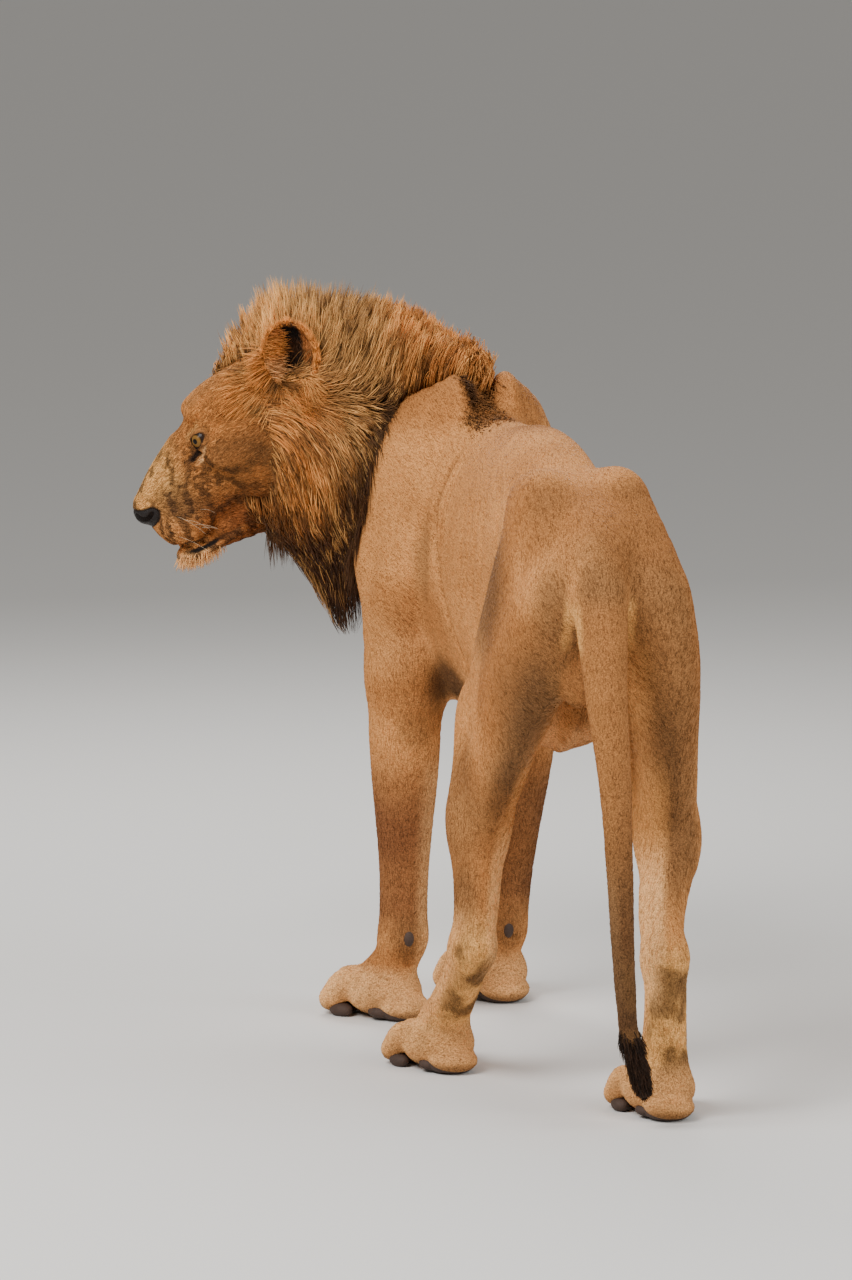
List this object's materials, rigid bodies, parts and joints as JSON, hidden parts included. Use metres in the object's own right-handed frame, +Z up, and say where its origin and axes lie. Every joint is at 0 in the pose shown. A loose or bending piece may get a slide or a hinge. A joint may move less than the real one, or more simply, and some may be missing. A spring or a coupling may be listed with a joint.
{
  "type": "lion",
  "caption": "Life-size still model of a young male lion that stands on all fours, looks to its left and lets its tail hang.",
  "frame": {"origin": "on the floor under the middle of the lion's length and width", "axes": "+X to the lion's left, -Y the way its body faces, +Z up"},
  "size_m": [0.6694, 1.365, 1.1428],
  "materials": {
    "coat": "short dense hair",
    "mane": "long coarse hair",
    "face": "very short hair",
    "ear": "short hair with a fringe inside",
    "nose": "moist pebbled skin",
    "eye": "wet and clear",
    "paw": "short hair over leathery pads",
    "tuft": "long coarse hair"
  },
  "bodies": {
    "root": {"ear_left": "ear", "ear_right": "ear", "eye_left": "eye", "eye_right": "eye", "forearm_left": "coat", "forearm_right": "coat", "forepaw_left": "paw", "forepaw_right": "paw", "head": "face", "hindpaw_left": "paw", "hindpaw_right": "paw", "metatarsus_left": "coat", "metatarsus_right": "coat", "neck": "mane", "nose": "nose", "shank_left": "coat", "shank_right": "coat", "tail_base": "coat", "tail_end": "coat", "tail_middle": "coat", "tail_tuft": "tuft", "thigh_left": "coat", "thigh_right": "coat", "trunk": "coat", "upper_foreleg_left": "coat", "upper_foreleg_right": "coat"}
  },
  "joints": []
}
